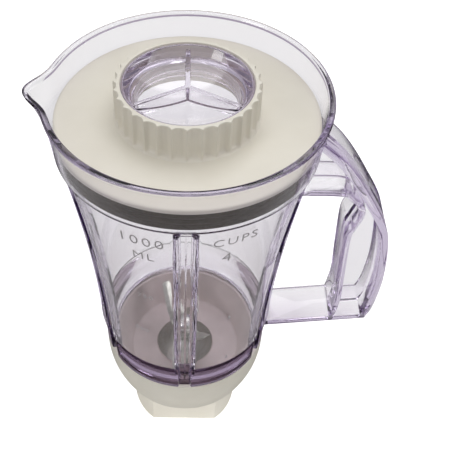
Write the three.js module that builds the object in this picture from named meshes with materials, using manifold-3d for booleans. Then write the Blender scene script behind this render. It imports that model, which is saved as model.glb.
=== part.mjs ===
// Blender goblet with its lid, filler cap, handle and screw-on blade base.
// Millimetres, +Z up. The spout points along -X, the handle along +X, and the front rib
// faces -Y. The origin is the middle of the underside of the whole object's box, so the
// axis of the goblet stands a little to the spout's side of it.
import * as THREE from 'three';
import { mergeVertices } from 'three/addons/utils/BufferGeometryUtils.js';
import Module from 'manifold-3d';

const wasm = await Module();
wasm.setup();

// ---------- driving dimensions ----------

// heights, each piece standing on the one below
const footHeight = 38; // foot, from the surface it stands on to the collar's underside
const collarHeight = 36.7; // screw collar
const bandHeight = 21; // thick base band of the goblet
const bodyHeight = 129.4; // goblet wall between the band and the lid's ledge
const headHeight = 27.5; // goblet wall between the ledge and the rim

// outside radii of the goblet, from the rim down
const rimRadius = 68;
const ledgeRadius = 64.6;
const bodyBottomRadius = 50.4;
const bandTopRadius = 49.4;
const seamRadius = 48.3; // where the goblet meets the screw collar
const bodyCurve = 1.7; // how late the body widens: 1 is a straight cone

// goblet walls and details
const wall = 2.2;
const ledgeStep = 1.4; // the wall steps in by this much under the lid
const rimBead = 0.8; // how far the rim's bead stands out
const rimBeadHeight = 3;
const rimChamfer = 0.8;
const spoutReach = 8.6; // how far the spout's lip stands out of the rim circle
const spoutWidth = THREE.MathUtils.degToRad(8.5); // spread of the spout round the rim
const ribWidth = 11; // ridge that each rib makes inside the goblet
const ribDepth = 3.8; // how far the wall is folded in at a rib
const ribGroove = 6.6; // width of the open groove outside
const ribTopDrop = 3; // ribs start this far below the ledge
const ribCount = 3; // one at the front and one to each side of it
const ribSpacing = THREE.MathUtils.degToRad(60);
const neckRadius = 44; // goblet neck inside the collar
const neckWall = 1.8;
const neckLength = 12;
const neckFlare = 1.4; // how far the bore widens where the blade base's dish ends
const neckFlareRise = 8.4;
const bandFloor = 20; // height at which the base band's inside slope meets the wall

// drive foot
const footRadius = 33.5;
const footFlat = 26.6; // distance of the foot's two flats from the axis
const footWall = 2.6;
const footPlate = 3.5;
const footBore = 9.5;

// thread between the goblet's neck and the collar
const threadLead = 24; // rise in one turn
const threadStarts = 4;
const threadArc = THREE.MathUtils.degToRad(40);
const threadThickness = 1.8;
const threadDepth = 1.3;
const threadRoot = 0.4; // how far a thread start reaches into its wall
const threadPlay = 0.5;

// screw collar
const collarWall = 2.2;
const collarLipRadius = 41.5;
const collarBulge = 2.4; // how far the bowl swells beyond a straight cone
const collarFloor = 2.7;
const collarHole = 14.5;
const collarShelf = 0.5; // collar's shelf below the blade base's flange

// lid
const lidPlateDepth = 12.5; // lid plate below the rim
const lidPlate = 2.5;
const lidSkirtRadius = 59.6;
const lidWall = 2;
const lidSkirtLift = 1; // lid's skirt above the goblet's ledge
const lidChamfer = 0.6;
const sealHeight = 11.6;
const sealLift = 0.6; // lid seal above the goblet's ledge
const throatRadius = 31; // bore that takes the filler cap
const throatWall = 2;
const throatHeight = 18; // fluted ring above the lid plate
const throatDepth = 4.5; // bore below the top of the lid plate
const fluteCount = 32;
const fluteDepth = 1.5;
const capLedge = 2.4; // how far the filler cap's shelf stands into the bore
const capShelfRise = 2.4; // shelf's top above the lid plate
const capWall = 2.7;
const capFloor = 2.5;
const capDrop = 0.8; // cap's edge below the fluted ring's top
const capEdge = 1;
const capSlope = 4.6; // drop of the sloping wall between the edge and the bowl
const capInset = 2.9; // how far that wall leans inward
const capBowlDepth = 4.7; // the floor is a shallow bowl
const capSpoke = 2.4;
const capSpokeDrop = 1.7; // spokes below the cap's edge
const capSpokes = 3;
const capSkirt = 5;

// blade base
const dishRimRadius = 41.9;
const dishFloorRadius = 33;
const dishDepth = 20.5; // from the dish's rim to its floor
const dishRimRise = 0.6; // dish's rim above the seam
const dishLip = 1.2;
const dishWall = 2.4;
const flangeThickness = 2.5;
const sealThickness = 1.6;
const hubFootRadius = 17.5;
const hubChamfer = 1;
const hubTopRadius = 8.6;
const hubHeight = 7;
const hubTubeRadius = 10.5;
const bushRadius = 7;
const bushLength = 6;
const shaftRadius = 4;
const shaftSealLength = 3;
const washerRadius = 7.4;
const washerThickness = 1;
const shoulderRadius = 6;
const shoulderThickness = 1.2;
const bladeLength = 24.5; // radius that the blade tips sweep
const bladeWidth = 11;
const bladeThickness = 1.5;
const bladeFlat = 8.5; // half length of the flat middle of a blade
const bladeTipCut = 2; // how far a blade's tip slants
const bladeTipPoint = 0.6;
const upperBladeAngle = THREE.MathUtils.degToRad(50); // its ends bend up
const lowerBladeAngle = THREE.MathUtils.degToRad(-24); // and these bend down
const upperBladeTurn = THREE.MathUtils.degToRad(122);
const lowerBladeTurn = THREE.MathUtils.degToRad(82);
const spacerThickness = 1.6;
const spacerRadius = 6.2;
const nutRadius = 7.4;
const nutHeight = 9.6;
const studRadius = 2.9; // top and bottom ends of the shaft
const studTop = 0.6; // share of the blade nut's height that the shaft fills
const studBottom = 5; // shaft's end below the coupling
const screwCircle = 23;
const screwCount = 4;
const screwRadius = 1.6;
const screwHeadRadius = 3.1;
const screwHeadHeight = 2.2;
const screwLength = 13;
const screwTip = 1;
const screwSlot = 0.8;
const bossRadius = 4.2;
const couplingRadius = 13;
const couplingHeight = 16;
const couplingTeeth = 6;
const couplingRim = 2.5; // wall of the coupling's cup
const couplingWeb = 0.55; // share of its height that the cup is deep
const couplingSeat = 4; // shaft's shoulder above the coupling's lower edge
const couplingDrop = 3.5; // coupling below the foot's plate
const toothLength = 3;
const toothWidth = 2.4;
const couplingNutRadius = 5.4;
const couplingNutHeight = 4;
const clipRadius = 6.2;
const clipThickness = 0.9;
const clipGroove = 0.6;
const clipOpening = 2.2;

// handle, in the plane of the spout and the handle
const handleDepth = 25; // front to back
const strapThickness = 4.4; // outer strap
const gripThickness = 3.2; // inner wall with the finger hook
const armThickness = 4.2; // lower arm
const webThickness = 3;
const handleReach = 110.8; // outermost point of the strap from the axis
const gripReach = 84.6; // grip wall from the axis
const hookReach = 4; // how far the finger hook stands beyond the grip wall
const strapDrop = 21; // strap's start below the rim
const armDrop = 55.5; // upper arm's underside below the rim
const armRise = 13; // lower arm's underside above the collar

const gap = 0.3; // between pieces that touch
const runningGap = 0.06; // shaft in its bushes
const fitGap = 0.1; // pieces pressed or clamped together
const gobletSides = 60;
const roundSides = 40;
const smallSides = 24;
const screwSides = 12;
const tau = Math.PI * 2;
const step = 0.01; // height of a step in an outline
const beyond = 1; // how far a cutting body passes the surface that it cuts

// ---------- heights and radii that follow ----------

const collarBottom = footHeight + gap;
const collarTop = footHeight + collarHeight;
const seamHeight = collarTop + gap;
const bandTop = seamHeight + bandHeight;
const ledgeHeight = bandTop + bodyHeight;
const rimHeight = ledgeHeight + headHeight;
const neckBottom = seamHeight - neckLength;
const collarTopInner = seamRadius - collarWall;
const sealTop = neckBottom - gap;
const sealBottom = sealTop - sealThickness;
const flangeTop = sealBottom - gap;
const flangeBottom = flangeTop - flangeThickness;
const dishRim = seamHeight + dishRimRise;
const dishFloor = dishRim - dishDepth;
const hubTop = dishFloor + hubHeight;
const hubBottom = collarBottom + collarFloor + gap;
const neckBore = neckRadius - neckWall;
const plateTop = rimHeight - lidPlateDepth;
const plateBottom = plateTop - lidPlate;
const throatTop = plateTop + throatHeight;
const capShelf = plateTop + capShelfRise;

// outside radius of the goblet at a height
function outerRadius(z) {
  if (z >= ledgeHeight) {
    return ledgeRadius + ((rimRadius - rimBead - ledgeRadius) * (z - ledgeHeight)) / headHeight;
  }
  if (z >= bandTop) {
    const share = ((z - bandTop) / bodyHeight) ** bodyCurve;
    return bodyBottomRadius + (ledgeRadius - ledgeStep - bodyBottomRadius) * share;
  }
  return seamRadius + ((bandTopRadius - seamRadius) * (z - seamHeight)) / bandHeight;
}

const innerRadius = (z) => outerRadius(z) - wall;

// outside radius of the screw collar, a bowl that swells between its lip and its top
function collarRadius(z) {
  const share = (z - collarBottom) / (collarTop - collarBottom);
  return collarLipRadius + (seamRadius - collarLipRadius) * share + collarBulge * Math.sin(Math.PI * share);
}

// ---------- solids ----------

// a closed mesh with merged corners, its faces pointing out
function solid(geometry) {
  const bare = geometry.clone();
  bare.deleteAttribute('normal');
  bare.deleteAttribute('uv');
  const merged = mergeVertices(bare, 1e-4);
  const positions = merged.getAttribute('position').array;
  const corner = (i) => new THREE.Vector3().fromArray(positions, i * 3);
  const faces = [];
  let volume = 0;
  for (let i = 0; i < merged.index.count; i += 3) {
    const [a, b, c] = [0, 1, 2].map((k) => merged.index.getX(i + k));
    if (a !== b && b !== c && c !== a) {
      faces.push([a, b, c]);
      volume += corner(a).dot(corner(b).cross(corner(c)));
    }
  }
  const triVerts = Uint32Array.from(faces.flatMap(([a, b, c]) => (volume > 0 ? [a, b, c] : [a, c, b])));
  const vertProperties = Float32Array.from(positions);
  return new wasm.Manifold(new wasm.Mesh({ numProp: 3, vertProperties, triVerts }));
}

// the solid back as a three.js geometry
function geometryOf(body) {
  const mesh = body.getMesh();
  const geometry = new THREE.BufferGeometry();
  geometry.setAttribute('position', new THREE.BufferAttribute(mesh.vertProperties, 3));
  geometry.setIndex(new THREE.BufferAttribute(mesh.triVerts, 1));
  geometry.computeVertexNormals();
  return geometry;
}

// a closed outline of [radius, height] turned about Z
function turned(outline, sides = roundSides) {
  const points = [...outline, outline[0]].map(([r, z]) => new THREE.Vector2(r, z));
  const geometry = new THREE.LatheGeometry(points, sides);
  geometry.rotateX(Math.PI / 2);
  return geometry;
}

const ring = (inner, outer, bottom, top, sides) =>
  solid(turned([[inner, bottom], [outer, bottom], [outer, top], [inner, top]], sides));

const disc = (radius, bottom, top, sides) =>
  solid(turned([[0, bottom], [radius, bottom], [radius, top], [0, top]], sides));

function block(width, depth, height, x, y, z) {
  const geometry = new THREE.BoxGeometry(width, depth, height);
  geometry.translate(x, y, z);
  return solid(geometry);
}

// an outline of [x, y] pushed up from one height to another
function pushed(outline, bottom, top) {
  const shape = new THREE.Shape(outline.map(([x, y]) => new THREE.Vector2(x, y)));
  const geometry = new THREE.ExtrudeGeometry(shape, { depth: top - bottom, bevelEnabled: false });
  geometry.translate(0, 0, bottom);
  return solid(geometry);
}

// an outline of [x, z] with a thickness front to back, centred on the plane Y = 0
function upright(outline, depth) {
  const shape = new THREE.Shape(outline.map(([x, z]) => new THREE.Vector2(x, z)));
  const geometry = new THREE.ExtrudeGeometry(shape, { depth, bevelEnabled: false });
  geometry.rotateX(Math.PI / 2);
  geometry.translate(0, depth / 2, 0);
  return solid(geometry);
}

const spun = (body, angle) => body.rotate([0, 0, THREE.MathUtils.radToDeg(angle)]);

// steps from one number to another, both ends included
const steps = (from, to, count) =>
  Array.from({ length: count + 1 }, (_, i) => from + ((to - from) * i) / count);

// ---------- materials ----------

function finish(color, roughness, metalness, opacity = 1) {
  return new THREE.MeshStandardMaterial({ color, roughness, metalness, opacity, transparent: opacity < 1 });
}
const clearPlastic = () => finish(0xcfc6e0, 0.06, 0, 0.35);
const creamPlastic = () => finish(0xdfd9cd, 0.45, 0);
const taupePlastic = () => finish(0x9c8f90, 0.5, 0);
const rubber = () => finish(0x4a4238, 0.7, 0);
const steel = () => finish(0xb9b7b2, 0.25, 1);
const bronze = () => finish(0xa9824a, 0.4, 1);
const nylon = () => finish(0x2b2a2c, 0.55, 0);

const blender = new THREE.Group();

function addPiece(name, body, material) {
  const mesh = new THREE.Mesh(geometryOf(body), material);
  mesh.name = name;
  blender.add(mesh);
}

// ---------- goblet ----------

// pulls the wall out into the spout, most at the rim and not at all below the ledge
function pullSpout(body) {
  return body.warp((p) => {
    const lift = (p[2] - ledgeHeight) / headHeight;
    if (lift > 0) {
      const turn = Math.abs(Math.atan2(p[1], -p[0]));
      const pull = spoutReach * lift ** 1.3 * Math.exp(-((turn / spoutWidth) ** 2));
      const radius = Math.hypot(p[0], p[1]);
      p[0] *= 1 + pull / radius;
      p[1] *= 1 + pull / radius;
    }
  });
}

// heights at which the goblet's wall bends
function wallHeights() {
  return [...steps(bandTop, ledgeHeight, 5), ...steps(ledgeHeight + step, rimHeight - rimBeadHeight, 3)];
}

function gobletOutside(extra = 0) {
  return [
    [seamRadius + extra, seamHeight],
    [bandTopRadius + extra, bandTop - step],
    ...wallHeights().map((z) => [outerRadius(z) + extra, z]),
  ];
}

function gobletShell() {
  const inside = wallHeights()
    .filter((z) => z > bandTop)
    .map((z) => [innerRadius(z), z]);
  return turned(
    [
      [neckBore, neckBottom],
      [neckRadius, neckBottom],
      [neckRadius, seamHeight],
      ...gobletOutside(),
      [rimRadius, rimHeight - rimBeadHeight + rimBead],
      [rimRadius, rimHeight - rimChamfer],
      [rimRadius - rimChamfer, rimHeight],
      [innerRadius(rimHeight), rimHeight],
      ...inside.reverse(),
      [innerRadius(bandTop), seamHeight + bandFloor],
      [neckBore + neckFlare, dishRim + neckFlareRise],
      [neckBore, dishRim],
    ],
    gobletSides,
  );
}

// a rib is a fold of the wall: a ridge inside and a groove outside, both at the front
const ribTop = ledgeHeight - ribTopDrop;
const foldHeights = (bottom) => [...steps(ribTop, bandTop, 5), ...steps(bandTop - 2 * step, bottom, 2)];
const facingFront = (outline, width) => upright(outline, width).rotate([0, 0, 90]);

function ribRidge() {
  const heights = foldHeights(bandTop - bandHeight / 2);
  const inside = heights.map((z) => [ribDepth - innerRadius(z), z]);
  const outside = heights.map((z) => [wall / 2 - outerRadius(z), z]);
  return facingFront([...inside, ...outside.reverse()], ribWidth);
}

function ribCut() {
  const heights = foldHeights(seamHeight - gap);
  const inside = heights.map((z) => [ribDepth - outerRadius(z), z]);
  const outside = [[-rimRadius, seamHeight - gap], [-rimRadius, ribTop]];
  return facingFront([...inside, ...outside], ribGroove);
}

// one start of the thread: part of a ring, leaned along the helix
function threadRidge(inner, outer, middle, angle) {
  const reach = outer * 2;
  const half = threadArc / 2;
  const away = reach * Math.cos(half);
  const aside = reach * Math.sin(half);
  const wedge = pushed(
    [[0, 0], [away, -aside], [away, aside]],
    middle - threadThickness,
    middle + threadThickness,
  );
  const level = ring(inner, outer, middle - threadThickness / 2, middle + threadThickness / 2);
  const leaned = level.intersect(wedge).warp((p) => {
    p[2] += (threadLead * Math.atan2(p[1], p[0])) / tau;
  });
  return spun(leaned, angle);
}

const neckThread = neckBottom + neckLength / 2 - threadThickness;
const collarThread = neckThread + threadThickness + threadPlay;

function goblet() {
  let body = pullSpout(solid(gobletShell()));
  for (let i = 0; i < ribCount; i += 1) {
    const angle = (i - (ribCount - 1) / 2) * ribSpacing;
    body = body.add(spun(ribRidge(), angle)).subtract(spun(ribCut(), angle));
  }
  for (let i = 0; i < threadStarts; i += 1) {
    const turn = (i * tau) / threadStarts;
    const ridge = threadRidge(neckRadius - threadRoot, neckRadius + threadDepth, neckThread, turn);
    body = body.add(ridge);
  }
  return body;
}

// ---------- handle ----------

// a strip of one thickness along a smooth line of [x, z] points, on the left of its direction
function strip(points, thickness, divisions) {
  const line = new THREE.SplineCurve(points.map(([x, z]) => new THREE.Vector2(x, z)));
  const near = [];
  const far = [];
  for (const t of steps(0, 1, divisions)) {
    const p = line.getPoint(t);
    const along = line.getTangent(t);
    near.push([p.x, p.y]);
    far.push([p.x - along.y * thickness, p.y + along.x * thickness]);
  }
  return { near, far, outline: [...near, ...far.reverse()] };
}

// outside line of the outer strap, from the rim down to the lower corner
function strapLine() {
  return [
    [ledgeRadius - 9, rimHeight - strapDrop + 8],
    [ledgeRadius + 0.6, rimHeight - strapDrop],
    [ledgeRadius + 14.7, rimHeight - strapDrop - 14.5],
    [handleReach - 17.5, rimHeight - strapDrop - 36],
    [handleReach - 4.5, rimHeight - strapDrop - 62],
    [handleReach, (rimHeight + seamHeight) / 2 - 28],
    [handleReach - 1.1, seamHeight + armRise + 20],
    [handleReach - 4.4, seamHeight + armRise + 8],
  ];
}

// inside line of the grip, from the upper arm over the finger hook to the lower arm
function gripLine() {
  const arm = rimHeight - armDrop;
  return [
    [ledgeRadius - 14, arm],
    [gripReach - 8, arm],
    [gripReach - 2, arm - 3.2],
    [gripReach + hookReach - 1, arm - 8.5],
    [gripReach + hookReach, arm - 14.5],
    [gripReach + 1.5, arm - 23],
    [gripReach - 0.3, arm - 32],
    [gripReach + 1, (arm + seamHeight + armRise) / 2 - 8],
    [gripReach + 2, seamHeight + armRise + 25],
    [gripReach, seamHeight + armRise + 6],
  ];
}

function handle() {
  const corner = strapLine().at(-1);
  const armLine = [[bodyBottomRadius - 12, seamHeight + armRise - 1.5], [corner[0], corner[1]]];
  const strap = strip(strapLine(), -strapThickness, 26);
  const grip = strip(gripLine(), gripThickness, 40);
  const arm = strip(armLine, armThickness, 2);
  let body = upright(strap.outline, handleDepth);
  body = body.add(upright(grip.outline, handleDepth));
  body = body.add(upright(arm.outline, handleDepth));
  body = body.add(upright([...strap.near, ...[...grip.near].reverse()], webThickness));
  const around = [[0, seamHeight], ...gobletOutside(gap), [rimRadius + gap, rimHeight], [0, rimHeight]];
  const inside = solid(turned(around, gobletSides));
  return body.subtract(inside);
}

// ---------- lid ----------

function sealOutside(z) {
  return innerRadius(z) - gap;
}

function lid() {
  const plateRadius = innerRadius(plateBottom) - gap;
  const skirtBottom = ledgeHeight + lidSkirtLift;
  const bore = throatRadius;
  const shelf = bore - capLedge;
  const base = solid(
    turned([
      [shelf, plateTop - throatDepth],
      [bore + throatWall, plateTop - throatDepth],
      [bore + throatWall, plateBottom],
      [lidSkirtRadius - lidWall, plateBottom],
      [lidSkirtRadius - lidWall, skirtBottom],
      [lidSkirtRadius, skirtBottom],
      [lidSkirtRadius, plateBottom],
      [plateRadius, plateBottom],
      [plateRadius, plateTop - lidChamfer],
      [plateRadius - lidChamfer, plateTop],
      [bore + throatWall / 2, plateTop],
      [bore + throatWall / 2, capShelf],
      [shelf, capShelf],
    ]),
  );
  const outline = [];
  for (let i = 0; i < fluteCount; i += 1) {
    for (const part of [0, 0.2, 0.5, 0.8]) {
      const angle = ((i + part) * tau) / fluteCount;
      const radius = bore + throatWall + fluteDepth * Math.abs(Math.cos(part * Math.PI));
      outline.push([radius * Math.cos(angle), radius * Math.sin(angle)]);
    }
  }
  const flutes = pushed(outline, plateTop - beyond, throatTop);
  return base.add(flutes.subtract(disc(bore, plateTop - 2 * beyond, throatTop + beyond)));
}

function lidSeal() {
  const bottom = ledgeHeight + sealLift;
  const top = plateBottom - gap;
  const heights = [bottom, Math.min(top, bottom + sealHeight)];
  const inner = lidSkirtRadius + fitGap;
  return solid(turned([
    [inner, heights[0]],
    [sealOutside(heights[0]), heights[0]],
    [sealOutside(heights[1]), heights[1]],
    [inner, heights[1]],
  ]));
}

function fillerCap() {
  const outer = throatRadius - gap;
  const skirt = throatRadius - capLedge - gap;
  const top = throatTop - capDrop;
  const bowlTop = top - capSlope;
  const bowlFloor = bowlTop - capBowlDepth;
  const bowlRadius = outer - capEdge - capInset;
  const skirtBottom = bowlFloor - capFloor - capSkirt;
  const bowlHeight = (radius) => bowlFloor + capBowlDepth * (radius / bowlRadius) ** 2;
  const bowl = steps(bowlRadius, 0, 5).map((radius) => [radius, bowlHeight(radius)]);
  const underside = steps(0, skirt - capWall, 4).map((radius) => [radius, bowlHeight(radius) - capFloor]);
  let body = solid(
    turned([
      ...underside,
      [skirt - capWall, skirtBottom],
      [skirt, skirtBottom],
      [skirt, capShelf + gap],
      [outer, capShelf + gap],
      [outer, top],
      [outer - capEdge, top],
      ...bowl,
    ]),
  );
  const length = outer - capEdge;
  const spokeTop = top - capSpokeDrop;
  const spokeBottom = bowlFloor - capFloor / 2;
  const spoke = block(length, capSpoke, spokeTop - spokeBottom, length / 2, 0, (spokeTop + spokeBottom) / 2);
  for (let i = 0; i < capSpokes; i += 1) {
    body = body.add(spun(spoke, tau / 4 + (i * tau) / capSpokes));
  }
  return body;
}

// ---------- screw collar and foot ----------

const screwPlaces = steps(0, screwCount - 1, screwCount - 1).map((i) => {
  const angle = tau / 8 + (i * tau) / screwCount;
  return [screwCircle * Math.cos(angle), screwCircle * Math.sin(angle), 0];
});

function screwHoles(radius, bottom, top) {
  const hole = disc(radius, bottom, top, screwSides);
  return wasm.Manifold.union(screwPlaces.map((place) => hole.translate(place)));
}

function baseCollar() {
  const outside = steps(collarBottom, collarTop, 6);
  const floorTop = collarBottom + collarFloor;
  const shelf = flangeBottom - collarShelf;
  const inside = steps(floorTop, shelf - collarShelf, 3).map((z) => [collarRadius(z) - collarWall, z]);
  const body = solid(
    turned([
      [collarHole, collarBottom],
      ...outside.map((z) => [collarRadius(z), z]),
      [collarTopInner, collarTop],
      [collarTopInner, shelf],
      ...inside.reverse(),
      [collarHole, floorTop],
    ]),
  );
  const holes = screwHoles(screwRadius + fitGap * 2, collarBottom - beyond, floorTop + beyond);
  let threaded = body.subtract(holes);
  for (let i = 0; i < threadStarts; i += 1) {
    const inner = collarTopInner - threadDepth;
    const turn = (i * tau) / threadStarts;
    threaded = threaded.add(threadRidge(inner, collarTopInner + threadRoot, collarThread, turn));
  }
  return threaded;
}

function driveFoot() {
  const flats = (half, top) => block(footRadius * 4, half * 2, top * 4, 0, 0, 0);
  const outside = disc(footRadius, 0, footHeight).intersect(flats(footFlat, footHeight));
  const hollow = disc(footRadius - footWall, -beyond, footHeight - footPlate).intersect(
    flats(footFlat - footWall, footHeight),
  );
  const bore = disc(footBore, -beyond, footHeight + beyond);
  return outside
    .subtract(hollow)
    .subtract(bore)
    .subtract(screwHoles(screwRadius + fitGap * 2, -beyond, footHeight + beyond));
}

function baseScrew(index) {
  const headTop = footHeight - footPlate - fitGap;
  const headBottom = headTop - screwHeadHeight;
  const body = solid(
    turned(
      [
        [0, headBottom],
        [screwHeadRadius * 0.7, headBottom],
        [screwHeadRadius, headBottom + screwHeadHeight * 0.6],
        [screwHeadRadius, headTop],
        [screwRadius, headTop],
        [screwRadius, headTop + screwLength - screwTip],
        [screwRadius * 0.4, headTop + screwLength],
        [0, headTop + screwLength],
      ],
      screwSides,
    ),
  );
  const slot = block(screwHeadRadius * 1.3, screwSlot, screwHeadHeight, 0, 0, headBottom);
  return body.subtract(slot.add(slot.rotate([0, 0, 90]))).translate(screwPlaces[index]);
}

// ---------- blade unit ----------

function bladeHousing() {
  const flangeRadius = collarTopInner - gap - fitGap;
  const slope = (dishRimRadius - dishFloorRadius) / dishDepth;
  const dishRadius = (z) => dishFloorRadius + slope * (z - dishFloor);
  const shell = solid(
    turned([
      [bushRadius + fitGap, hubBottom],
      [hubTubeRadius, hubBottom],
      [hubTubeRadius, dishFloor - dishWall],
      [dishFloorRadius, dishFloor - dishWall],
      [dishRadius(flangeBottom) + dishWall, flangeBottom],
      [flangeRadius, flangeBottom],
      [flangeRadius, flangeTop],
      [neckBore - gap, flangeTop],
      [neckBore - gap, dishRim],
      [neckBore - gap - dishLip, dishRim],
      [dishFloorRadius, dishFloor],
      [hubFootRadius, dishFloor],
      [hubTopRadius + hubChamfer, hubTop - hubChamfer],
      [hubTopRadius, hubTop],
      [bushRadius + fitGap, hubTop],
    ]),
  );
  const bosses = screwHoles(bossRadius, hubBottom, dishFloor - dishWall / 2);
  return shell.add(bosses).subtract(screwHoles(screwRadius + fitGap, hubBottom - beyond, dishFloor - beyond));
}

const bushBore = (shaftRadius + runningGap) / Math.cos(Math.PI / smallSides);
const upperBushTop = hubTop - shaftSealLength - fitGap;

const bush = (bottom) => ring(bushBore, bushRadius, bottom, bottom + bushLength, smallSides);

const washerBottom = hubTop + gap;
const shoulderBottom = washerBottom + washerThickness + fitGap;
const lowerBladeBottom = shoulderBottom + shoulderThickness + fitGap;
const spacerBottom = lowerBladeBottom + bladeThickness + fitGap;
const upperBladeBottom = spacerBottom + spacerThickness + fitGap;
const nutBottom = upperBladeBottom + bladeThickness + fitGap;
const clipTop = hubBottom - gap;
const couplingTop = footHeight - footPlate - couplingDrop;
const couplingBottom = couplingTop - couplingHeight;
const couplingBoss = couplingBottom + 1; // underside of the middle, where its nut bears

function shaft() {
  const end = couplingBottom - studBottom;
  const seat = couplingBottom + couplingSeat;
  const top = nutBottom + nutHeight * studTop;
  return solid(
    turned(
      [
        [0, end],
        [studRadius, end],
        [studRadius, seat],
        [shaftRadius, seat],
        [shaftRadius, clipTop - clipThickness - fitGap],
        [shaftRadius - clipGroove, clipTop - clipThickness - fitGap],
        [shaftRadius - clipGroove, clipTop + fitGap],
        [shaftRadius, clipTop + fitGap],
        [shaftRadius, shoulderBottom],
        [shoulderRadius, shoulderBottom],
        [shoulderRadius, shoulderBottom + shoulderThickness],
        [studRadius, shoulderBottom + shoulderThickness],
        [studRadius, top],
        [0, top],
      ],
      smallSides,
    ),
  );
}

// a blade seen from its side: flat in the middle, its two ends bent up or down
function blade(bottom, angle) {
  const rise = Math.tan(angle) * (bladeLength - bladeFlat);
  const side = [
    [-bladeLength, bottom + rise],
    [-bladeFlat, bottom],
    [bladeFlat, bottom],
    [bladeLength, bottom + rise],
    [bladeLength, bottom + rise + bladeThickness * 1.2],
    [bladeFlat, bottom + bladeThickness],
    [-bladeFlat, bottom + bladeThickness],
    [-bladeLength, bottom + rise + bladeThickness * 1.2],
  ];
  const half = bladeWidth / 2;
  const plan = [
    [-bladeLength, bladeTipPoint],
    [-bladeLength + bladeTipCut, -half / 2],
    [-bladeFlat, -half],
    [bladeFlat, -half],
    [bladeLength, -bladeTipPoint],
    [bladeLength - bladeTipCut, half / 2],
    [bladeFlat, half],
    [-bladeFlat, half],
  ];
  const low = Math.min(bottom, bottom + rise) - beyond;
  const high = Math.max(bottom, bottom + rise) + bladeThickness * 2;
  const bore = disc(studRadius + fitGap, low, high, smallSides);
  return upright(side, bladeWidth * 2).intersect(pushed(plan, low, high)).subtract(bore);
}

function bladeNut() {
  const dome = steps(0, 1, 5).map((t) => [
    nutRadius * Math.cos((t * Math.PI) / 2.2),
    nutBottom + nutHeight * (0.45 + 0.55 * Math.sin((t * Math.PI) / 2)),
  ]);
  const bore = studRadius + fitGap;
  const boreTop = nutBottom + nutHeight * studTop + fitGap;
  const underside = [[bore, nutBottom], [nutRadius, nutBottom]];
  const inside = [[0, boreTop], [bore, boreTop]];
  return solid(turned([...underside, ...dome, [0, nutBottom + nutHeight], ...inside], smallSides));
}

function driveCoupling() {
  const bore = studRadius + fitGap;
  const seat = couplingBottom + couplingSeat - fitGap;
  const web = couplingBottom + couplingHeight * couplingWeb;
  const body = solid(
    turned(
      [
        [bore, couplingBoss],
        [couplingRadius / 2, couplingBoss],
        [couplingRadius / 2, web],
        [couplingRadius - couplingRim, web],
        [couplingRadius - couplingRim, couplingBottom],
        [couplingRadius, couplingBottom],
        [couplingRadius, couplingTop - couplingRim],
        [couplingRadius - couplingRim, couplingTop],
        [shaftRadius + fitGap, couplingTop],
        [shaftRadius + fitGap, seat],
        [bore, seat],
      ],
      smallSides,
    ),
  );
  const toothHeight = couplingHeight * (couplingWeb + 0.05);
  const toothPlace = couplingRadius - couplingRim - toothLength / 4;
  const teeth = steps(0, couplingTeeth - 1, couplingTeeth - 1).map((i) =>
    spun(
      block(toothLength, toothWidth, toothHeight, toothPlace, 0, couplingBottom + toothHeight / 2),
      (i * tau) / couplingTeeth,
    ),
  );
  return body.add(wasm.Manifold.union(teeth));
}

function couplingNut() {
  const top = couplingBoss - fitGap;
  const bottom = top - couplingNutHeight;
  const outline = steps(0, 5, 5).map((i) => [
    couplingNutRadius * Math.cos((i * tau) / 6),
    couplingNutRadius * Math.sin((i * tau) / 6),
  ]);
  const bore = disc(studRadius + fitGap, bottom - beyond, top + beyond, smallSides);
  return pushed(outline, bottom, top).subtract(bore);
}

function circlip() {
  const inner = shaftRadius - clipGroove + fitGap;
  const whole = ring(inner, clipRadius, clipTop - clipThickness, clipTop, smallSides);
  return whole.subtract(block(clipRadius * 2, clipOpening, clipThickness * 4, clipRadius, 0, clipTop));
}

// ---------- assembly ----------

addPiece('goblet', goblet(), clearPlastic());
addPiece('handle', handle(), clearPlastic());
addPiece('lid', lid(), creamPlastic());
addPiece('lid_seal', lidSeal(), rubber());
addPiece('filler_cap', fillerCap(), clearPlastic());
addPiece('base_collar', baseCollar(), creamPlastic());
addPiece('drive_foot', driveFoot(), creamPlastic());
for (let i = 0; i < screwCount; i += 1) {
  addPiece(`base_screw_${i + 1}`, baseScrew(i), steel());
}
addPiece('blade_housing', bladeHousing(), taupePlastic());
addPiece('goblet_seal', ring(neckBore + gap, collarTopInner - gap, sealBottom, sealTop), rubber());
addPiece('upper_bush', bush(upperBushTop - bushLength), bronze());
addPiece('lower_bush', bush(hubBottom), bronze());
addPiece('shaft_seal', ring(bushBore, bushRadius, hubTop - shaftSealLength, hubTop, smallSides), rubber());
addPiece('shaft', shaft(), steel());
addPiece('circlip', circlip(), steel());
const washerTop = washerBottom + washerThickness;
const washer = ring(shaftRadius + fitGap, washerRadius, washerBottom, washerTop, smallSides);
addPiece('thrust_washer', washer, nylon());
addPiece('lower_blade', spun(blade(lowerBladeBottom, lowerBladeAngle), lowerBladeTurn), steel());
const spacerTop = spacerBottom + spacerThickness;
addPiece('blade_spacer', ring(studRadius + fitGap, spacerRadius, spacerBottom, spacerTop, smallSides), steel());
addPiece('upper_blade', spun(blade(upperBladeBottom, upperBladeAngle), upperBladeTurn), steel());
addPiece('blade_nut', bladeNut(), steel());
addPiece('drive_coupling', driveCoupling(), nylon());
addPiece('coupling_nut', couplingNut(), steel());

// the goblet's axis is moved so that the origin lies midway between spout and handle
const box = new THREE.Box3().setFromObject(blender);
blender.position.x = -(box.min.x + box.max.x) / 2;

export default blender;
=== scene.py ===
import math

import bmesh
import bpy
from mathutils import Matrix, Vector


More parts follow.
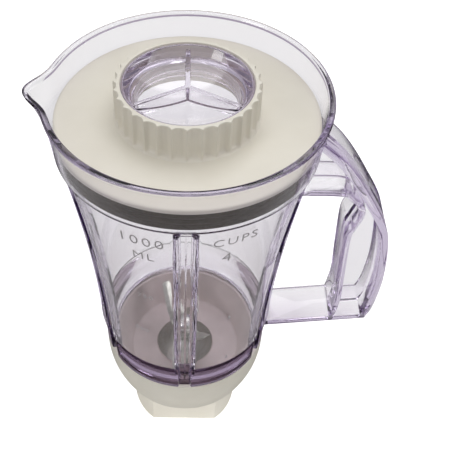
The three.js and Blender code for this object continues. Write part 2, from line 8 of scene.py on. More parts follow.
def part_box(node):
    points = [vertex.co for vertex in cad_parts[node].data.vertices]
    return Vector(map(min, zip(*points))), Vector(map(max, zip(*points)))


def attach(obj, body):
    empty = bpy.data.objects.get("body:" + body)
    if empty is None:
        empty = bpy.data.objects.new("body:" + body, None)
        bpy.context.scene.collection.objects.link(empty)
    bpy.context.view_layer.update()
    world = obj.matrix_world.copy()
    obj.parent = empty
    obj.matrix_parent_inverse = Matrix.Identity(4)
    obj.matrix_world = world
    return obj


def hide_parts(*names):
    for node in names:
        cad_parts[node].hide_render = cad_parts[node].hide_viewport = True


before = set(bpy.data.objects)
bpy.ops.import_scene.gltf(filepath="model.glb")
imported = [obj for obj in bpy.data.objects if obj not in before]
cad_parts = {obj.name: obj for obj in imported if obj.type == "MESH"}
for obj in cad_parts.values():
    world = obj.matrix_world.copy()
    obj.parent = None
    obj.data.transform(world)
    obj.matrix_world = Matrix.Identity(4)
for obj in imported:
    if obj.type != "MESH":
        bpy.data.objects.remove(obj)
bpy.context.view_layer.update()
print("blender goblet: frame loaded, the goblet stands on its drive foot")

# Shapes are worked out in millimetres around the goblet's own axis, with heights from the
# floor, and settle() moves each finished mesh into the frame.
mm = 0.001
tau = math.tau
scene = bpy.context.scene


def reach(node):
    # lowest and highest corner of a CAD node, in millimetres around the goblet's axis
    low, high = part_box(node)
    shift = Vector((axisX, 0, 0))
    return (low - shift) / mm, (high - shift) / mm


collarLow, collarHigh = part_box("base_collar")
axisX = (collarLow.x + collarHigh.x) / 2
rimHeight = reach("goblet")[1].z
neckBottom = reach("goblet")[0].z
collarBottom = reach("base_collar")[0].z
collarTop = reach("base_collar")[1].z
lidTop = reach("lid")[1].z
bandAboveCollar = 21.3  # the goblet's thick base band and the gap under it
bandTop = collarTop + bandAboveCollar


# Camera

camera = {
    "back": 295.8,  # in front of the goblet's axis
    "above": 228.4,  # above the rim
    "pitch": 47.876,
    "yaw": -0.10,
    "roll": 0.706,
    "lens": 61.28,
    "shift": 0.102,
}


def makeCamera():
    data = bpy.data.cameras.new("camera")
    data.lens = camera["lens"]
    data.shift_x = camera["shift"]
    data.clip_start = 0.02
    data.clip_end = 20
    eye = bpy.data.objects.new("camera", data)
    scene.collection.objects.link(eye)
    eye.location = (axisX, -camera["back"] * mm, (rimHeight + camera["above"]) * mm)
    tilt = Matrix.Rotation(math.radians(90 - camera["pitch"]), 4, "X")
    turn = Matrix.Rotation(math.radians(camera["yaw"]), 4, "Z")
    roll = Matrix.Rotation(math.radians(camera["roll"]), 4, "Z")
    eye.matrix_world = Matrix.Translation(eye.location) @ turn @ tilt @ roll
    scene.camera = eye
    print("camera placed", tuple(round(v, 4) for v in eye.location))


# Light, floor and surroundings

studio = {
    "floorWidth": 1.9,
    "floorColor": (0.64, 0.64, 0.64, 1),
    "floorMirrored": (0.03, 0.025, 0.02, 1),  # the floor as shiny surfaces mirror it
    "floorGlow": 0.80,  # paper lit from behind, so it stays pale under the object
    "floorGlowThrough": 0.36,  # the same, seen through the clear plastic
    "floorGlowNear": 1.3,  # light the paper throws up at the foot, for matt surfaces only
    "nearFade": (0.06, 0.26),  # metres from the axis over which it fades
    "softbox": (1.3, 8.8, (0.15, 0.35, 1.4)),  # size, power and place
    "leftBox": (0.5, 4.2, (-1.0, -0.7, 0.75)),
    "rightBox": (0.4, 3.4, (1.1, -0.6, 0.5)),
    "skyLow": (0.36, 0.31, 0.40, 1),  # what the object mirrors near the horizon
    "skyMiddle": (0.22, 0.21, 0.23, 1),
    "skyHigh": (0.62, 0.62, 0.62, 1),
    "fillLow": (0.05, 0.05, 0.05, 1),  # light the same sky sends to matt surfaces
    "fillHigh": (0.60, 0.60, 0.60, 1),
}


def makeFloor():
    bm = bmesh.new()
    bmesh.ops.create_grid(bm, x_segments=1, y_segments=1, size=studio["floorWidth"] / 2)
    mesh = bpy.data.meshes.new("studioFloor")
    bm.to_mesh(mesh)
    bm.free()
    floor = bpy.data.objects.new("studioFloor", mesh)
    scene.collection.objects.link(floor)
    paper = bpy.data.materials.new("studioPaper")
    paper.use_nodes = True
    nodes, links = paper.node_tree.nodes, paper.node_tree.links
    shader = nodes["Principled BSDF"]
    shader.inputs["Roughness"].default_value = 0.9
    shader.inputs["Specular IOR Level"].default_value = 0.1
    backlight = nodes.new("ShaderNodeEmission")
    path = nodes.new("ShaderNodeLightPath")
    direct = nodes.new("ShaderNodeMath")
    direct.operation = "MULTIPLY"
    direct.inputs[1].default_value = studio["floorGlow"]
    glow = nodes.new("ShaderNodeMath")
    glow.operation = "MULTIPLY_ADD"
    glow.inputs[1].default_value = studio["floorGlowThrough"]
    both = nodes.new("ShaderNodeAddShader")
    links.new(path.outputs["Is Camera Ray"], direct.inputs[0])
    links.new(path.outputs["Is Transmission Ray"], glow.inputs[0])
    links.new(direct.outputs[0], glow.inputs[2])
    place = nodes.new("ShaderNodeTexCoord")
    away = nodes.new("ShaderNodeVectorMath")
    away.operation = "DISTANCE"
    away.inputs[1].default_value = (axisX, 0, 0)
    near = nodes.new("ShaderNodeMapRange")
    near.inputs["From Min"].default_value = studio["nearFade"][0]
    near.inputs["From Max"].default_value = studio["nearFade"][1]
    near.inputs["To Min"].default_value = studio["floorGlowNear"]
    near.inputs["To Max"].default_value = 0
    bounced = nodes.new("ShaderNodeMath")
    bounced.operation = "MULTIPLY_ADD"
    links.new(place.outputs["Object"], away.inputs[0])
    links.new(away.outputs["Value"], near.inputs["Value"])
    links.new(near.outputs["Result"], bounced.inputs[0])
    links.new(path.outputs["Is Diffuse Ray"], bounced.inputs[1])
    links.new(glow.outputs[0], bounced.inputs[2])
    links.new(bounced.outputs[0], backlight.inputs["Strength"])
    links.new(shader.outputs["BSDF"], both.inputs[0])
    links.new(backlight.outputs["Emission"], both.inputs[1])
    links.new(both.outputs["Shader"], nodes["Material Output"].inputs["Surface"])
    speck = nodes.new("ShaderNodeTexNoise")
    speck.inputs["Scale"].default_value = 30
    tone = nodes.new("ShaderNodeMix")
    tone.data_type = "RGBA"
    tone.inputs["A"].default_value = studio["floorColor"]
    tone.inputs["B"].default_value = tuple(0.97 * v for v in studio["floorColor"])
    mirrored = nodes.new("ShaderNodeMath")
    mirrored.operation = "SUBTRACT"
    mirrored.use_clamp = True
    seen = nodes.new("ShaderNodeMix")
    seen.data_type = "RGBA"
    seen.inputs["B"].default_value = studio["floorMirrored"]
    links.new(path.outputs["Is Glossy Ray"], mirrored.inputs[0])
    links.new(path.outputs["Is Transmission Ray"], mirrored.inputs[1])
    links.new(speck.outputs["Fac"], tone.inputs["Factor"])
    links.new(mirrored.outputs[0], seen.inputs["Factor"])
    links.new(tone.outputs["Result"], seen.inputs["A"])
    links.new(seen.outputs["Result"], shader.inputs["Base Color"])
    mesh.materials.append(paper)


def makeSky():
    world = bpy.data.worlds.new("studioSky")
    scene.world = world
    world.use_nodes = True
    nodes, links = world.node_tree.nodes, world.node_tree.links
    glow = nodes["Background"]
    way = nodes.new("ShaderNodeTexCoord")
    split = nodes.new("ShaderNodeSeparateXYZ")
    ramp = nodes.new("ShaderNodeValToRGB")
    ramp.color_ramp.elements[0].position = 0.05
    ramp.color_ramp.elements[0].color = studio["skyLow"]
    ramp.color_ramp.elements[1].position = 0.75
    ramp.color_ramp.elements[1].color = studio["skyHigh"]
    middle = ramp.color_ramp.elements.new(0.35)
    middle.color = studio["skyMiddle"]
    fill = nodes.new("ShaderNodeValToRGB")
    fill.color_ramp.elements[0].color = studio["fillLow"]
    fill.color_ramp.elements[0].position = 0.1
    fill.color_ramp.elements[1].color = studio["fillHigh"]
    path = nodes.new("ShaderNodeLightPath")
    shiny = nodes.new("ShaderNodeMix")
    shiny.data_type = "RGBA"
    seen = nodes.new("ShaderNodeMix")
    seen.data_type = "RGBA"
    seen.inputs["B"].default_value = (1, 1, 1, 1)
    links.new(split.outputs["Z"], fill.inputs["Fac"])
    links.new(path.outputs["Is Glossy Ray"], shiny.inputs["Factor"])
    links.new(fill.outputs["Color"], shiny.inputs["A"])
    links.new(ramp.outputs["Color"], shiny.inputs["B"])
    links.new(way.outputs["Generated"], split.inputs["Vector"])
    links.new(split.outputs["Z"], ramp.inputs["Fac"])
    links.new(path.outputs["Is Camera Ray"], seen.inputs["Factor"])
    links.new(shiny.outputs["Result"], seen.inputs["A"])
    links.new(seen.outputs["Result"], glow.inputs["Color"])


def makeSoftbox(name, size, power, place):
    data = bpy.data.lights.new(name, "AREA")
    data.shape = "DISK"
    data.size = size
    data.energy = power
    lamp = bpy.data.objects.new(name, data)
    scene.collection.objects.link(lamp)
    lamp.location = place
    aim = Vector((0, 0, rimHeight * mm / 2)) - Vector(place)
    lamp.rotation_euler = aim.to_track_quat("-Z", "Y").to_euler()


def makeStudio():
    makeFloor()
    makeSky()
    makeSoftbox("softbox", *studio["softbox"])
    makeSoftbox("leftBox", *studio["leftBox"])
    makeSoftbox("rightBox", *studio["rightBox"])
    scene.view_settings.view_transform = "Standard"
    scene.cycles.max_bounces = 28
    scene.cycles.transmission_bounces = 24
    scene.cycles.transparent_max_bounces = 24
    scene.cycles.glossy_bounces = 16
    scene.cycles.caustics_reflective = False
    scene.cycles.caustics_refractive = False
    print("studio floor, sky and softboxes placed")


# Materials

finishes = {
    "creamPlastic": {
        "light": (0.765, 0.730, 0.645, 1),
        "dark": (0.715, 0.677, 0.588, 1),
        "roughness": (0.30, 0.44),
        "cloud": 35,
        "grain": (900, 0.05),
        "coat": 0.12,
    },
    "taupePlastic": {
        "light": (0.72, 0.63, 0.595, 1),
        "dark": (0.57, 0.495, 0.46, 1),
        "roughness": (0.28, 0.42),
        "cloud": 60,
        "grain": (1200, 0.05),
        "coat": 0.10,
    },
    "darkRubber": {
        "light": (0.052, 0.040, 0.024, 1),
        "dark": (0.034, 0.026, 0.016, 1),
        "roughness": (0.45, 0.65),
        "cloud": 80,
        "grain": (700, 0.12),
        "coat": 0.0,
        "specular": 0.15,
    },
    "blackNylon": {
        "light": (0.030, 0.030, 0.033, 1),
        "dark": (0.018, 0.018, 0.020, 1),
        "roughness": (0.40, 0.58),
        "cloud": 90,
        "grain": (1400, 0.08),
        "coat": 0.0,
    },
}

metals = {
    "brushedSteel": {
        "light": (0.78, 0.77, 0.75, 1),
        "dark": (0.55, 0.54, 0.53, 1),
        "roughness": (0.16, 0.34),
        "brush": 420,
    },
    "bladeSteel": {
        "light": (0.56, 0.57, 0.51, 1),
        "dark": (0.36, 0.37, 0.33, 1),
        "roughness": (0.38, 0.52),
        "brush": 420,
    },
    "hubSteel": {
        "light": (0.33, 0.33, 0.28, 1),
        "dark": (0.24, 0.24, 0.20, 1),
        "roughness": (0.34, 0.5),
        "brush": 200,
    },
    "sinteredBronze": {
        "light": (0.62, 0.42, 0.20, 1),
        "dark": (0.42, 0.27, 0.12, 1),
        "roughness": (0.38, 0.55),
        "brush": 160,
    },
}

glass = {
    "tint": (0.990, 0.988, 0.992, 1),
    "shade": (0.95, 0.94, 0.955, 1),  # what shadows let through
    "absorb": (0.50, 0.38, 0.62, 1),
    "density": 30.0,
    "edge": (0.88, 0.855, 0.92, 1),  # what the rounded silhouettes let through
    "edgeShare": 0.85,
    "edgeFacing": (0.80, 0.97),
    "band": (0.52, 0.44, 0.56, 1),  # painted shade: a darker purple on the base band's front half only, in place of the thick base's refraction
    "bandFade": (0.5, -1.5),  # heights from the band's top, over which that painted shade comes in
    "bandFront": (0.01, -0.03),  # the same front to back, in metres
    "ior": 1.49,
    "roughness": (0.012, 0.05),
}


def newMaterial(name):
    material = bpy.data.materials.new(name)
    material.use_nodes = True
    tree = material.node_tree
    return material, tree.nodes, tree.links, tree.nodes["Principled BSDF"]


def objectNoise(nodes, links, scale, detail=3, stretch=(1, 1, 1)):
    # noise that stays with the piece, finer as scale grows
    place = nodes.new("ShaderNodeTexCoord")
    mapping = nodes.new("ShaderNodeMapping")
    mapping.inputs["Scale"].default_value = stretch
    noise = nodes.new("ShaderNodeTexNoise")
    noise.inputs["Scale"].default_value = scale
    noise.inputs["Detail"].default_value = detail
    links.new(place.outputs["Object"], mapping.inputs["Vector"])
    links.new(mapping.outputs["Vector"], noise.inputs["Vector"])
    return noise.outputs["Fac"]


def between(nodes, links, factor, low, high):
    # turns a noise into a number that runs from low to high
    step = nodes.new("ShaderNodeMapRange")
    step.inputs["From Min"].default_value = 0.3
    step.inputs["From Max"].default_value = 0.7
    step.inputs["To Min"].default_value = low
    step.inputs["To Max"].default_value = high
    links.new(factor, step.inputs["Value"])
    return step.outputs["Result"]


def blendedColor(nodes, links, factor, dark, light):
    ramp = nodes.new("ShaderNodeValToRGB")
    ramp.color_ramp.elements[0].position = 0.3
    ramp.color_ramp.elements[0].color = dark
    ramp.color_ramp.elements[1].position = 0.7
    ramp.color_ramp.elements[1].color = light
    links.new(factor, ramp.inputs["Fac"])
    return ramp.outputs["Color"]


def addBump(nodes, links, shader, height, strength, distance):
    bump = nodes.new("ShaderNodeBump")
    bump.inputs["Strength"].default_value = strength
    bump.inputs["Distance"].default_value = distance
    links.new(height, bump.inputs["Height"])
    links.new(bump.outputs["Normal"], shader.inputs["Normal"])


def mouldedPlastic(name):
    # opaque moulded plastic: cloudy colour, satin patches and a fine moulded grain
    look = finishes[name]
    material, nodes, links, shader = newMaterial(name)
    cloud = objectNoise(nodes, links, look["cloud"])
    color = blendedColor(nodes, links, cloud, look["dark"], look["light"])
    links.new(color, shader.inputs["Base Color"])
    patches = objectNoise(nodes, links, look["cloud"] * 2.3, 5)
    links.new(between(nodes, links, patches, *look["roughness"]), shader.inputs["Roughness"])
    shader.inputs["Coat Weight"].default_value = look["coat"]
    shader.inputs["Coat Roughness"].default_value = 0.2
    shader.inputs["Specular IOR Level"].default_value = look.get("specular", 0.5)
    grain = objectNoise(nodes, links, look["grain"][0], 2)
    addBump(nodes, links, shader, grain, look["grain"][1], 0.0004)
    return material


def turnedMetal(name):
    # metal with fine turned lines around its height and a few dull patches
    look = metals[name]
    material, nodes, links, shader = newMaterial(name)
    brush = objectNoise(nodes, links, look["brush"], 4, (0.25, 0.25, 6))
    color = blendedColor(nodes, links, brush, look["dark"], look["light"])
    links.new(color, shader.inputs["Base Color"])
    patches = objectNoise(nodes, links, 90, 4)
    links.new(between(nodes, links, patches, *look["roughness"]), shader.inputs["Roughness"])
    shader.inputs["Metallic"].default_value = 1
    addBump(nodes, links, shader, brush, 0.12, 0.0002)
    return material


def clearPlastic(name, density):
    # clear lilac moulding: absorption darkens long paths, shadows pass through, silhouettes are
    # softened, and the front half of the base band gets painted shade, a darker purple by height
    material, nodes, links, shader = newMaterial(name)
    cloud = objectNoise(nodes, links, 25)
    clear = Vector(glass["tint"])
    faint = Vector((clear.x * 0.99, clear.y * 0.985, clear.z * 0.99, 1))
    color = blendedColor(nodes, links, cloud, tuple(faint), glass["tint"])
    place = nodes.new("ShaderNodeTexCoord")
    split = nodes.new("ShaderNodeSeparateXYZ")
    # painted shade: the base band's front half is mixed towards a darker purple by height and front to
    # back, so the back half gets none
    low = nodes.new("ShaderNodeMapRange")
    low.inputs["From Min"].default_value = (bandTop + glass["bandFade"][0]) * mm
    low.inputs["From Max"].default_value = (bandTop + glass["bandFade"][1]) * mm
    front = nodes.new("ShaderNodeMapRange")
    front.inputs["From Min"].default_value = glass["bandFront"][0]
    front.inputs["From Max"].default_value = glass["bandFront"][1]
    bandShadeMask = nodes.new("ShaderNodeMath")
    bandShadeMask.operation = "MULTIPLY"
    bandShadeMix = nodes.new("ShaderNodeMix")
    bandShadeMix.data_type = "RGBA"
    bandShadeMix.inputs["B"].default_value = glass["band"]
    links.new(place.outputs["Object"], split.inputs["Vector"])
    links.new(split.outputs["Z"], low.inputs["Value"])
    links.new(split.outputs["Y"], front.inputs["Value"])
    links.new(low.outputs["Result"], bandShadeMask.inputs[0])
    links.new(front.outputs["Result"], bandShadeMask.inputs[1])
    links.new(bandShadeMask.outputs[0], bandShadeMix.inputs["Factor"])
    links.new(color, bandShadeMix.inputs["A"])
    links.new(bandShadeMix.outputs["Result"], shader.inputs["Base Color"])
    shader.inputs["Transmission Weight"].default_value = 1
    shader.inputs["IOR"].default_value = glass["ior"]
    handled = objectNoise(nodes, links, 60, 5)
    links.new(between(nodes, links, handled, *glass["roughness"]), shader.inputs["Roughness"])
    ripple = objectNoise(nodes, links, 45, 2)
    addBump(nodes, links, shader, ripple, 0.03, 0.002)
    passing = nodes.new("ShaderNodeBsdfTransparent")
    path = nodes.new("ShaderNodeLightPath")
    either = nodes.new("ShaderNodeMath")
    either.operation = "MAXIMUM"
    links.new(path.outputs["Is Shadow Ray"], either.inputs[0])
    links.new(path.outputs["Is Diffuse Ray"], either.inputs[1])
    facing = nodes.new("ShaderNodeLayerWeight")
    rounded = nodes.new("ShaderNodeMapRange")
    rounded.inputs["From Min"].default_value = glass["edgeFacing"][0]
    rounded.inputs["From Max"].default_value = glass["edgeFacing"][1]
    rounded.inputs["To Max"].default_value = glass["edgeShare"]
    soft = nodes.new("ShaderNodeMix")
    soft.data_type = "RGBA"
    soft.inputs["A"].default_value = glass["shade"]
    soft.inputs["B"].default_value = glass["edge"]
    share = nodes.new("ShaderNodeMath")
    share.operation = "MAXIMUM"
    links.new(facing.outputs["Facing"], rounded.inputs["Value"])
    links.new(rounded.outputs["Result"], soft.inputs["Factor"])
    links.new(soft.outputs["Result"], passing.inputs["Color"])
    links.new(either.outputs[0], share.inputs[0])
    links.new(rounded.outputs["Result"], share.inputs[1])
    mix = nodes.new("ShaderNodeMixShader")
    output = nodes["Material Output"]
    links.new(share.outputs[0], mix.inputs["Fac"])
    links.new(shader.outputs["BSDF"], mix.inputs[1])
    links.new(passing.outputs["BSDF"], mix.inputs[2])
    links.new(mix.outputs["Shader"], output.inputs["Surface"])
    absorb = nodes.new("ShaderNodeVolumeAbsorption")
    absorb.inputs["Color"].default_value = glass["absorb"]
    absorb.inputs["Density"].default_value = density
    links.new(absorb.outputs["Volume"], output.inputs["Volume"])
    return material


cream = mouldedPlastic("creamPlastic")
taupe = mouldedPlastic("taupePlastic")
rubber = mouldedPlastic("darkRubber")
nylon = mouldedPlastic("blackNylon")
steel = turnedMetal("brushedSteel")
bladeSteel = turnedMetal("bladeSteel")
hubSteel = turnedMetal("hubSteel")
bronze = turnedMetal("sinteredBronze")
clear = clearPlastic("clearPlastic", glass["density"])
print("finishes mixed: cream, taupe, rubber, nylon, steel, bronze and clear lilac plastic")


# Shaping helpers


def softened(corners, parts=4):
    # a closed outline of (across, up, rounding) corners with its corners rounded
    line = []
    count = len(corners)
    for i, (across, up, rounding) in enumerate(corners):
        here = Vector((across, up))
        if rounding == 0:
            line.append(here)
            continue
        back = Vector(corners[i - 1][:2]) - here
        ahead = Vector(corners[(i + 1) % count][:2]) - here
        start = here + back.normalized() * min(rounding, back.length * 0.45)
        end = here + ahead.normalized() * min(rounding, ahead.length * 0.45)
        for k in range(parts + 1):
            t = k / parts
            line.append(start * (1 - t) ** 2 + here * 2 * t * (1 - t) + end * t * t)
    return line


def turned(line, sides, arc=tau, rise=0.0):
    # a closed outline of (radius, height) points spun about the goblet's axis
    bm = bmesh.new()
    corners = [bm.verts.new((p[0], 0, p[1])) for p in line]
    edges = [bm.edges.new(pair) for pair in zip(corners, corners[1:] + corners[:1])]
    whole = arc == tau
    bmesh.ops.spin(
        bm,
        geom=corners + edges,
        cent=(0, 0, 0),
        axis=(0, 0, 1),
        dvec=(0, 0, rise / sides),
        angle=arc,
        steps=sides,
        use_merge=whole,
    )
    if not whole:
        loops = [e for e in bm.edges if e.is_boundary]
        bmesh.ops.holes_fill(bm, edges=loops, sides=0)
    return closed(bm)


def closed(bm):
    # merges doubles, drops slivers and turns every face outwards
    bmesh.ops.remove_doubles(bm, verts=bm.verts, dist=1e-3)
    bmesh.ops.recalc_face_normals(bm, faces=bm.faces)
    return bm


def pushed(line, low, high, along="Y", bevel=0.0, segments=2):
    # a flat outline given a thickness along Y or Z, with softened edges front and back
    bm = bmesh.new()
    if along == "Y":
        corners = [bm.verts.new((p[0], low, p[1])) for p in line]
        way = (0, high - low, 0)
    else:
        corners = [bm.verts.new((p[0], p[1], low)) for p in line]
        way = (0, 0, high - low)
    face = bm.faces.new(corners)
    caps = [face]
    made = bmesh.ops.extrude_face_region(bm, geom=[face], use_keep_orig=True)["geom"]
    moved = [v for v in made if isinstance(v, bmesh.types.BMVert)]
    caps += [f for f in made if isinstance(f, bmesh.types.BMFace)]
    bmesh.ops.translate(bm, vec=way, verts=moved)
    bmesh.ops.recalc_face_normals(bm, faces=bm.faces)
    if bevel > 0:
        rims = {e for cap in caps for e in cap.edges}
        bmesh.ops.bevel(
            bm, geom=list(rims), offset=bevel, segments=segments,
            profile=0.5, affect="EDGES", material=-1, clamp_overlap=True,
        )
    return bm


def joinedInto(bm, other):
    # adds another bmesh's faces without cutting anything
    spare = bpy.data.meshes.new("spare")
    other.to_mesh(spare)
    other.free()
    bm.from_mesh(spare)
    bpy.data.meshes.remove(spare)
    return bm


def asTool(bm):
    mesh = bpy.data.meshes.new("tool")
    bm.to_mesh(mesh)
    bm.free()
    tool = bpy.data.objects.new("tool", mesh)
    scene.collection.objects.link(tool)
    return tool


def combined(first, steps):
    # joins or cuts closed bodies one after another: steps are (bmesh, "UNION" or "DIFFERENCE")
    host = asTool(first)
    tools = []
    for body, operation in steps:
        tool = asTool(body)
        cut = host.modifiers.new("step", "BOOLEAN")
        cut.operation = operation
        cut.solver = "MANIFOLD"
        cut.object = tool
        tools.append(tool)
    graph = bpy.context.evaluated_depsgraph_get()
    bm = bmesh.new()
    bm.from_mesh(host.evaluated_get(graph).data)
    for tool in [host, *tools]:
        mesh = tool.data
        bpy.data.objects.remove(tool)
        bpy.data.meshes.remove(mesh)
    return closed(bm)


def settle(bm, name, body, material, stands=(), sharp=34):
    # shades the mesh, moves it into the frame, hangs it on its body and hides the CAD nodes it stands for
    limit = math.radians(sharp)
    for face in bm.faces:
        face.smooth = True
    for edge in bm.edges:
        edge.smooth = edge.calc_face_angle(0) < limit
    bmesh.ops.scale(bm, vec=(mm, mm, mm), verts=bm.verts)
    bmesh.ops.translate(bm, vec=(axisX, 0, 0), verts=bm.verts)
    mesh = bpy.data.meshes.new(name)
    bm.to_mesh(mesh)
    bm.free()
    mesh.materials.append(material)
    piece = bpy.data.objects.new(name, mesh)
    scene.collection.objects.link(piece)
    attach(piece, body)
    for node in stands:
        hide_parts(node)
    print(f"{name}: {len(mesh.polygons)} faces")
    return piece


def eased(value, start, end):
    # 0 before start, 1 after end, smooth between
    t = min(1, max(0, (value - start) / (end - start)))
    return t * t * (3 - 2 * t)


def spread(low, high, count):
    return [low + (high - low) * i / count for i in range(count + 1)]


def smoothLine(points, parts):
    # an even curve through (across, up) points
    padded = [points[0], *points, points[-1]]
    line = []
    for a, b, c, d in zip(padded, padded[1:], padded[2:], padded[3:]):
        a, b, c, d = (Vector(p) for p in (a, b, c, d))
        for k in range(parts):
            t = k / parts
            line.append(
                0.5 * (2 * b + (c - a) * t + (2 * a - 5 * b + 4 * c - d) * t * t
                       + (3 * b - a - 3 * c + d) * t ** 3)
            )
    line.append(Vector(points[-1]))
    return line


def thickened(line, thickness):
    # a strip of one thickness on the left of a line
    far = []
    for i, here in enumerate(line):
        along = (line[min(i + 1, len(line) - 1)] - line[max(i - 1, 0)]).normalized()
        far.append(here + Vector((-along.y, along.x)) * thickness)
    return line + far[::-1]


# Goblet and handle, one clear moulding

goblet = {
    "sides": 480,
    "crowd": 0.65,  # how far the sides crowd together at the ribs
    "wall": 2.2,
    "rim": 68.0,
    "ledge": 64.6,
    "bodyFoot": 50.4,
    "bandTop": 49.4,
    "seam": 48.3,
    "neck": 44.0,
    "neckWall": 1.8,
    "flare": 1.4,
    "flareRise": 9.0,
    "headHeight": 27.5,
    "bodyHeight": 129.4,
    "bandHeight": 21.0,
    "bodyCurve": 1.7,
    "ledgeStep": 1.4,
    "beadHeight": 3.0,
    "bead": 0.8,
    "spout": (8.6, 8.5),  # reach and spread in degrees
}

ribs = {
    "angles": (-60, 0, 60),  # from the front
    "crowding": 6,
    "depth": 3.8,
    "outside": (2.6, 3.6),  # half widths where the groove's wall starts and ends
    "inside": (4.4, 5.8),
    "line": (0.25, 0.55),  # depth and half width of the fine line down the middle
    "topDrop": 3.0,
    "topSlope": 3.2,
}

ledgeHeight = rimHeight - goblet["headHeight"]
seamHeight = bandTop - goblet["bandHeight"]


def outerRadius(z):
    if z >= ledgeHeight:
        share = (z - ledgeHeight) / goblet["headHeight"]
        return goblet["ledge"] + (goblet["rim"] - goblet["bead"] - goblet["ledge"]) * share
    if z >= bandTop:
        share = ((z - bandTop) / goblet["bodyHeight"]) ** goblet["bodyCurve"]
        return goblet["bodyFoot"] + (goblet["ledge"] - goblet["ledgeStep"] - goblet["bodyFoot"]) * share
    share = (z - seamHeight) / goblet["bandHeight"]
    return goblet["seam"] + (goblet["bandTop"] - goblet["seam"]) * share


def innerRadius(z):
    return outerRadius(z) - goblet["wall"]


def ribHeights():
    # heights along the body, close together where a rib starts
    top = ledgeHeight - ribs["topDrop"]
    start = spread(top, top - ribs["topSlope"], 4)
    return spread(bandTop + 3, top - ribs["topSlope"] - 3, 26) + start[::-1]


def gobletOutline():
    heights = ribHeights()
    step = ledgeHeight - 0.2
    bore = goblet["neck"] - goblet["neckWall"]
    outside = [
        (goblet["neck"] - goblet["neckWall"], neckBottom, 0.4),
        (goblet["neck"], neckBottom, 0.4),
        (goblet["neck"], seamHeight, 0),
        (goblet["seam"], seamHeight, 0.5),
        (goblet["bandTop"], bandTop - 1.2, 0.5),
        (goblet["bandTop"] - 0.4, bandTop - 0.1, 0.3),
        (goblet["bodyFoot"], bandTop + 0.9, 0.6),
        *[(outerRadius(z), z, 0) for z in heights],
        (outerRadius(step) - 0.1, step - 0.8, 0.5),
        (goblet["ledge"], ledgeHeight + 0.3, 0.6),
        *[(outerRadius(z), z, 0) for z in spread(ledgeHeight + 2, rimHeight - goblet["beadHeight"], 8)],
        (goblet["rim"], rimHeight - goblet["beadHeight"] + goblet["bead"], 0.5),
        (goblet["rim"], rimHeight, 0.9),
    ]
    inside = [
        (innerRadius(rimHeight), rimHeight, 0.6),
        *[(innerRadius(z), z, 0) for z in spread(ledgeHeight + 2, rimHeight - 3, 8)[::-1]],
        (innerRadius(ledgeHeight), ledgeHeight + 0.2, 0.5),
        (innerRadius(step), ledgeHeight - 1.2, 0.5),
        *[(innerRadius(z), z, 0) for z in heights[::-1]],
        (innerRadius(bandTop), bandTop - 1, 1.5),
        (bore + goblet["flare"], seamHeight + goblet["flareRise"], 2.5),
        (bore, seamHeight + 0.6, 0.5),
    ]
    return softened(outside + inside)


def ribPull(distance, height, outer):
    # how far a rib folds the wall inwards at this distance from its middle
    top = ledgeHeight - ribs["topDrop"]
    start, end = ribs["outside"] if outer else ribs["inside"]
    across = 1 - eased(abs(distance), start, end)
    upper = 1 - eased(height, top - ribs["topSlope"], top)
    if outer:
        lower = 1
        across += ribs["line"][0] / ribs["depth"] * (1 - eased(abs(distance), 0, ribs["line"][1]))
    else:
        lower = eased(height, bandTop - 8, bandTop - 1)
    return ribs["depth"] * across * upper * lower


def spoutPull(turn, height):
    lift = (height - ledgeHeight) / goblet["headHeight"]
    reachOut, spreadOut = goblet["spout"]
    if lift <= 0:
        return 0
    return reachOut * lift ** 1.3 * math.exp(-((turn / math.radians(spreadOut)) ** 2))


def foldWall(bm):
    # crowds the sides at the ribs, folds the ribs in and pulls the spout out
    count = ribs["crowding"]
    folds = [math.radians(angle) for angle in ribs["angles"]]
    for v in bm.verts:
        radius = math.hypot(v.co.x, v.co.y)
        angle = math.atan2(v.co.y, v.co.x) + tau / 4
        angle -= goblet["crowd"] / count * math.sin(count * angle)
        nearest = min((math.remainder(angle - fold, tau) for fold in folds), key=abs)
        outer = radius > outerRadius(v.co.z) - goblet["wall"] / 2 - 0.3
        if v.co.z > seamHeight - 0.01:
            radius -= ribPull(nearest * radius, v.co.z, outer)
        angle -= tau / 4
        turn = abs(math.remainder(angle - math.pi, tau))
        radius += spoutPull(turn, v.co.z)
        v.co.x = radius * math.cos(angle)
        v.co.y = radius * math.sin(angle)


handle = {
    "depth": 25.0,
    "strap": 4.4,
    "grip": 3.2,
    "arm": 4.2,
    "web": 3.0,
    "reach": 110.8,
    "gripReach": 84.6,
    "hook": 4.0,
    "strapDrop": 21.0,
    "armDrop": 55.5,
    "armRise": 13.0,
    "bevel": 0.8,
}


def strapPoints():
    top = rimHeight - handle["strapDrop"]
    far = handle["reach"]
    foot = seamHeight + handle["armRise"]
    return [
        (goblet["ledge"] - 9, top + 8),
        (goblet["ledge"] + 0.6, top),
        (goblet["ledge"] + 14.7, top - 14.5),
        (far - 17.5, top - 36),
        (far - 4.5, top - 62),
        (far, (rimHeight + seamHeight) / 2 - 28),
        (far - 1.1, foot + 20),
        (far - 4.4, foot + 8),
    ]


def gripPoints():
    arm = rimHeight - handle["armDrop"]
    near = handle["gripReach"]
    foot = seamHeight + handle["armRise"]
    return [
        (goblet["ledge"] - 14, arm),
        (near - 8, arm),
        (near - 2, arm - 3.2),
        (near + handle["hook"] - 1, arm - 8.5),
        (near + handle["hook"], arm - 14.5),
        (near + 1.5, arm - 23),
        (near - 0.3, arm - 32),
        (near + 1, (arm + foot) / 2 - 8),
        (near + 2, foot + 25),
        (near, foot + 6),
    ]


